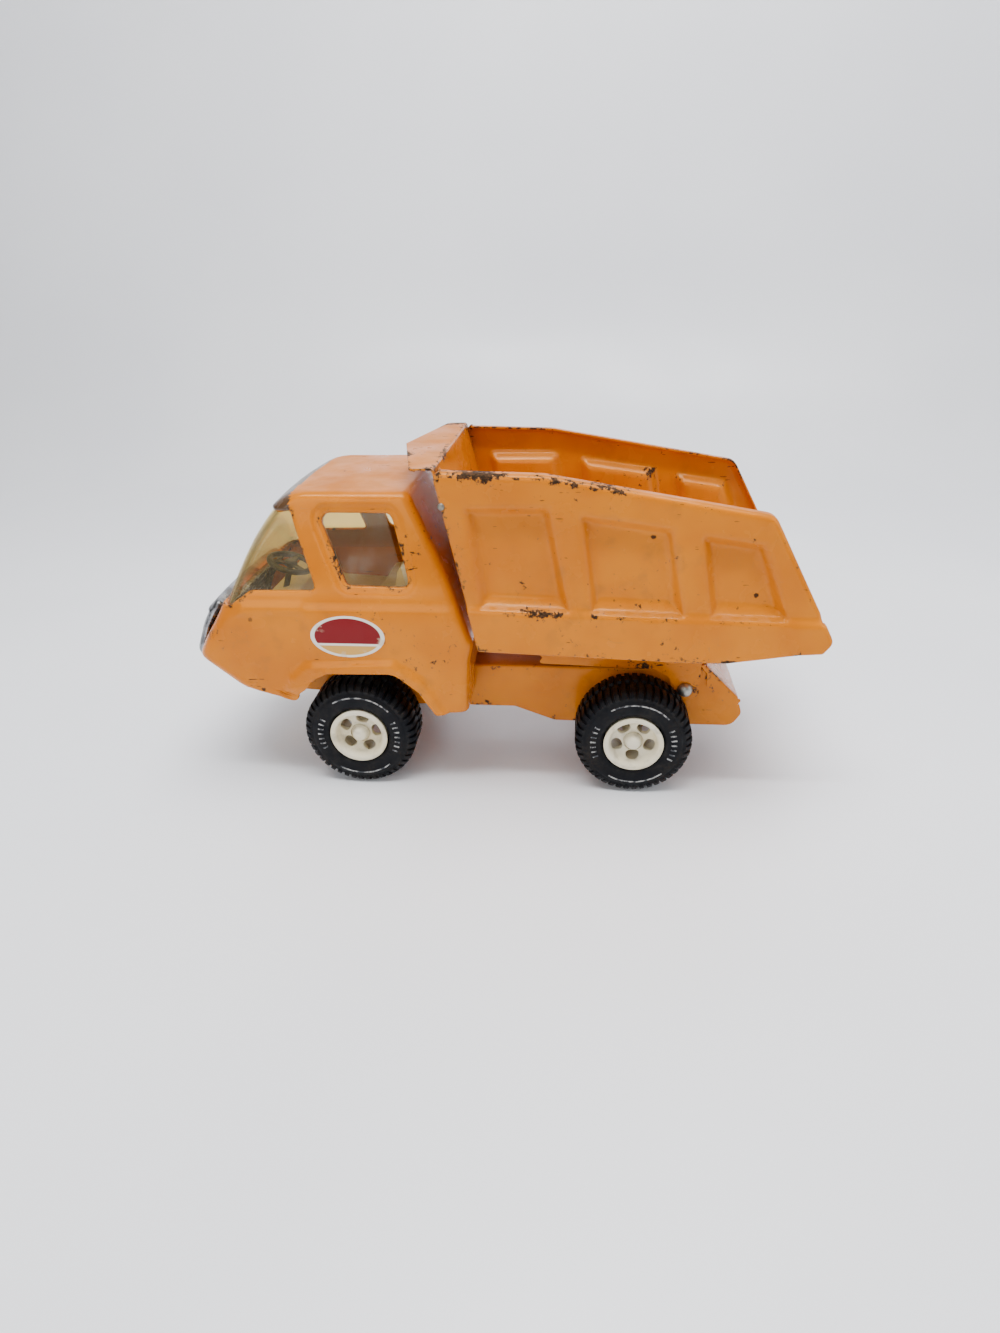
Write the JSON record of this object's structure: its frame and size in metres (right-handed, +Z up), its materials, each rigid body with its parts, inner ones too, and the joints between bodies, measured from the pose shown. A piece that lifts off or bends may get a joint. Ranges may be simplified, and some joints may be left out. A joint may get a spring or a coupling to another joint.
{
  "type": "toy dump truck",
  "caption": "Pressed-steel toy dump truck: forward cab with tinted glass, plated grille, rolling rubber-tyred wheels and an open ribbed bed that tips on a rear hinge.",
  "frame": {"origin": "on the ground, at the middle of the truck's length and width", "axes": "+X towards the open rear of the bed, -X to the grille, -Y to the truck's left side, +Z up"},
  "size_m": [0.3246, 0.124, 0.1742],
  "materials": {
    "paint": "gloss enamel, chipped at the edges",
    "chrome": "aged vacuum plating",
    "nickel": "dull nickel plate",
    "steel": "dull steel",
    "tyre": "matt rubber",
    "hub_plastic": "satin cream",
    "cream_plastic": "satin cream",
    "dark_plastic": "satin slate",
    "amber_glass": "clear amber plastic",
    "label": "gloss sticker, no lettering"
  },
  "bodies": {
    "chassis": {"chassis_frame": "paint", "tail_cover": "paint", "cab_shell": "paint", "cab_glass": "amber_glass", "grille": "chrome", "cab_interior": "cream_plastic", "steering_wheel": "dark_plastic", "hinge_pin": "steel", "hinge_cap_left": "nickel", "hinge_cap_right": "nickel", "cab_rivet_left": "steel", "cab_rivet_right": "steel", "decal_left": "label", "decal_right": "label"},
    "front_wheels": {"front_axle": "steel", "hub_front_left": "hub_plastic", "tyre_front_left": "tyre", "hub_front_right": "hub_plastic", "tyre_front_right": "tyre"},
    "rear_wheels": {"rear_axle": "steel", "hub_rear_left": "hub_plastic", "tyre_rear_left": "tyre", "hub_rear_right": "hub_plastic", "tyre_rear_right": "tyre"},
    "bed": {"bed_side_left": "paint", "bed_side_right": "paint", "bed_floor": "paint", "bed_front_panel": "paint", "bed_hinge_bracket": "paint", "bed_rivet_upper_left": "steel", "bed_rivet_upper_right": "steel"}
  },
  "joints": [
    {"name": "bed_tilt", "type": "hinge", "parent": "chassis", "child": "bed", "pos_m": [0.10082, 0, 0.05], "axis": [0, 1, 0], "range_deg": [0, 55]},
    {"name": "front_axle_spin", "type": "hinge", "parent": "chassis", "child": "front_wheels", "pos_m": [-0.07268, 0, 0.0305], "axis": [0, 1, 0], "continuous": true},
    {"name": "rear_axle_spin", "type": "hinge", "parent": "chassis", "child": "rear_wheels", "pos_m": [0.07333, 0, 0.0305], "axis": [0, 1, 0], "continuous": true}
  ]
}
